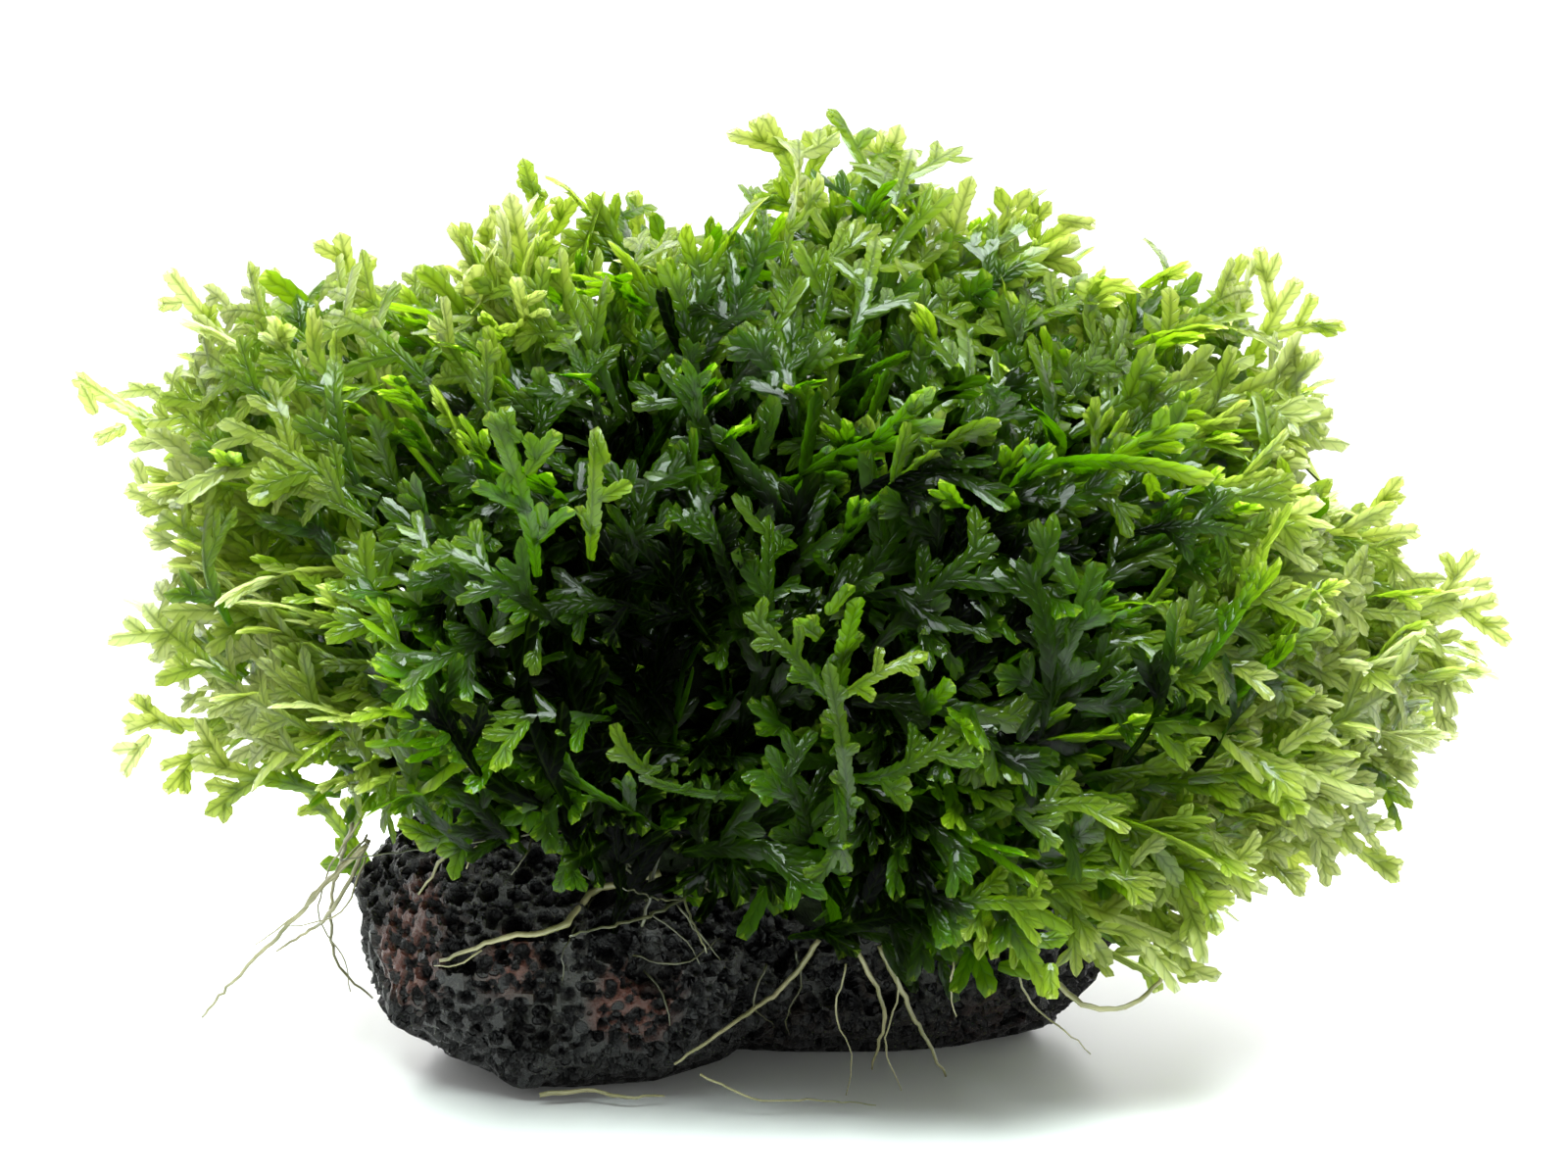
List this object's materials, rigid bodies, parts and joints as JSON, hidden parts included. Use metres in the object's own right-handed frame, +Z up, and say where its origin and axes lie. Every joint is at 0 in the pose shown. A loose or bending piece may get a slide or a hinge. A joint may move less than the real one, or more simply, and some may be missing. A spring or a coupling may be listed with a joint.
{
  "type": "coral moss on lava rock",
  "caption": "Clump of coral moss with flat, forked, leafy fronds and fine roots, grown on a loose piece of porous dark lava rock.",
  "frame": {"origin": "on the flat underside of the stone, which stands on the surface, near its middle", "axes": "+Z up, +X along the longest side, -Y towards the viewer of the picture"},
  "size_m": [0.0905, 0.0665, 0.0595],
  "materials": {
    "stone": "wet porous charcoal lava, reddish brown in patches",
    "moss": "wet glossy leafy growth, deep green",
    "frond": "wet glossy translucent yellow-green blades",
    "root": "wet pale cream strands"
  },
  "bodies": {
    "root": {"lava_stone": "stone", "root_across_stone": "root", "root_front_floor": "root", "root_front_long": "root", "root_front_middle": "root", "root_front_right": "root", "root_left_curling": "root", "root_left_inner": "root", "root_long_left": "root", "root_loop_right": "root", "root_stone_edge": "root", "sprig_back_high": "frond", "sprig_back_left_high": "frond", "sprig_back_left_low": "frond", "sprig_back_low": "frond", "sprig_back_right_high": "frond", "sprig_back_right_low": "frond", "sprig_back_top": "frond", "sprig_back_top_left": "frond", "sprig_front_branch": "frond", "sprig_front_hanging": "frond", "sprig_front_over_stone": "frond", "sprig_front_upright": "frond", "sprig_left_drooping": "frond", "sprig_left_feathery": "frond", "sprig_left_hanging": "frond", "sprig_left_long": "frond", "sprig_left_lowest": "frond", "sprig_left_middle": "frond", "sprig_left_over_stone": "frond", "sprig_right_drooping": "frond", "sprig_right_hanging": "frond", "sprig_right_high": "frond", "sprig_right_long": "frond", "sprig_right_low": "frond", "sprig_right_middle": "frond", "sprig_shoulder_right": "frond", "sprig_skirt_inner": "frond", "sprig_skirt_low": "frond", "sprig_skirt_middle": "frond", "sprig_skirt_outer": "frond", "sprig_top_far_left": "frond", "sprig_top_left": "frond", "sprig_top_middle": "frond", "sprig_top_right": "frond", "sprig_upper_left": "frond", "sprig_upper_left_thin": "frond", "sprig_upper_right": "frond", "sprig_upper_right_short": "frond", "tuft_back": "moss", "tuft_back_left": "moss", "tuft_back_right": "moss", "tuft_crown": "moss", "tuft_front_left": "moss", "tuft_front_right": "moss", "tuft_front_upper": "moss", "tuft_lower_left": "moss", "tuft_right": "moss", "tuft_upper_left": "moss"}
  },
  "joints": []
}
